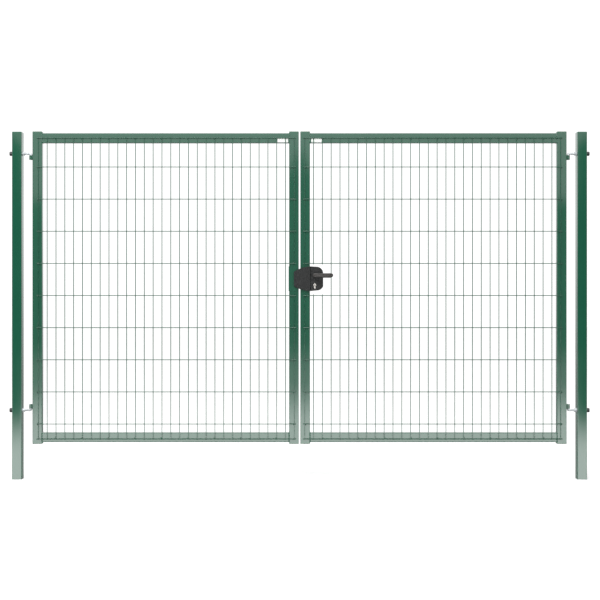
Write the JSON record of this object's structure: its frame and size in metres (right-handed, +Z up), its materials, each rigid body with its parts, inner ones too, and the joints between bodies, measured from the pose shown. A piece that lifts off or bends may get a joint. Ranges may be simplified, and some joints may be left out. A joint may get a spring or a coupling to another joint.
{
  "type": "double-leaf welded-mesh gate",
  "caption": "Double-leaf steel swing gate: square posts, tube frames with welded wire mesh, adjustable pin hinges, lever lock with cylinder, keep, and a drop bolt on the standing leaf.",
  "frame": {"origin": "on the plane of the post feet, midway between the two posts", "axes": "+X along the gate towards the lock leaf, +Y away from the front, where the infill is, +Z up"},
  "size_m": [3.621, 0.184, 2.168],
  "materials": {
    "green_paint": "gloss moss-green powder coat over galvanised steel",
    "green_grey_plastic": "moulded grey-green plastic",
    "zinc_plated_steel": "zinc plated",
    "black_plastic": "black moulded polyamide",
    "bare_steel": "bare machined steel",
    "anthracite_coat": "satin anthracite coated die casting",
    "lever_coat": "satin dark coated die casting",
    "nickel": "satin nickel plated brass"
  },
  "bodies": {
    "posts": {"left_post": "green_paint", "right_post": "green_paint", "left_post_cap": "green_grey_plastic", "right_post_cap": "green_grey_plastic", "left_upper_hinge_bolt": "zinc_plated_steel", "left_lower_hinge_bolt": "zinc_plated_steel", "right_upper_hinge_bolt": "zinc_plated_steel", "right_lower_hinge_bolt": "zinc_plated_steel", "hinge_washers": "zinc_plated_steel", "hinge_inner_nuts": "zinc_plated_steel", "hinge_outer_nuts": "zinc_plated_steel", "hinge_nut_caps": "black_plastic"},
    "left_leaf": {"left_hinge_stile": "green_paint", "left_meeting_stile": "green_paint", "left_top_rail": "green_paint", "left_bottom_rail": "green_paint", "left_stile_top_caps": "green_grey_plastic", "left_stile_bottom_caps": "green_grey_plastic", "left_mesh_uprights": "green_paint", "left_mesh_line_wires": "green_paint", "left_hinge_bushes": "green_paint", "strike_plate": "bare_steel", "keep_saddle": "green_paint", "keep_screws": "zinc_plated_steel", "drop_bolt_guides": "green_paint", "drop_bolt_clip": "bare_steel"},
    "drop_bolt": {"drop_bolt_rod": "zinc_plated_steel", "drop_bolt_grip": "black_plastic"},
    "right_leaf": {"right_hinge_stile": "green_paint", "right_meeting_stile": "green_paint", "right_top_rail": "green_paint", "right_bottom_rail": "green_paint", "right_stile_top_caps": "green_grey_plastic", "right_stile_bottom_caps": "green_grey_plastic", "right_mesh_uprights": "green_paint", "right_mesh_line_wires": "green_paint", "right_hinge_bushes": "green_paint", "lock_guard_plate": "anthracite_coat", "guard_plate_screws": "zinc_plated_steel", "lock_case": "zinc_plated_steel", "lock_case_lid": "zinc_plated_steel", "lock_fixing_bolts": "zinc_plated_steel", "lock_rear_cover": "black_plastic", "lock_front_cover": "black_plastic", "cover_screws": "zinc_plated_steel", "cylinder_body": "nickel", "cylinder_screw": "zinc_plated_steel", "latch_spring": "bare_steel"},
    "lever_set": {"front_lever": "lever_coat", "rear_lever": "lever_coat", "spindle": "bare_steel", "follower_hub": "bare_steel", "lever_grub_screws": "bare_steel"},
    "latch": {"latch_bolt": "bare_steel"},
    "key_core": {"cylinder_plugs": "nickel", "cylinder_cam": "nickel"},
    "dead_bolt_bar": {"dead_bolt": "bare_steel"}
  },
  "joints": [
    {"name": "left_leaf_hinge", "type": "hinge", "parent": "posts", "child": "left_leaf", "pos_m": [-1.677, 0, 1.2], "axis": [0, 0, 1], "range_deg": [0, 100]},
    {"name": "right_leaf_hinge", "type": "hinge", "parent": "posts", "child": "right_leaf", "pos_m": [1.677, 0, 1.2], "axis": [0, 0, 1], "range_deg": [0, 100]},
    {"name": "drop_bolt_slide", "type": "slide", "parent": "left_leaf", "child": "drop_bolt", "axis": [0, 0, -1], "range_m": [0, 0.17]},
    {"name": "lever_turn", "type": "hinge", "parent": "right_leaf", "child": "lever_set", "pos_m": [0.095, 0, 1.27], "axis": [0, 1, 0], "range_deg": [0, 40], "stiffness_Nm_per_rad": 1.6, "springref_deg": -25.78},
    {"name": "latch_slide", "type": "slide", "parent": "right_leaf", "child": "latch", "axis": [1, 0, 0], "range_m": [0, 0.0121], "deforming": ["latch_spring"]},
    {"name": "key_turn", "type": "hinge", "parent": "right_leaf", "child": "key_core", "pos_m": [0.095, 0, 1.2115], "axis": [0, -1, 0], "range_deg": [0, 361]},
    {"name": "dead_bolt_slide", "type": "slide", "parent": "right_leaf", "child": "dead_bolt_bar", "axis": [-1, 0, 0], "range_m": [0, 0.02]}
  ],
  "couplings": [
    {"joint": "latch_slide", "follows": "lever_turn", "m_per_rad": 0.017189},
    {"joint": "key_turn", "follows": "dead_bolt_slide", "rad_per_m": 314.16}
  ]
}
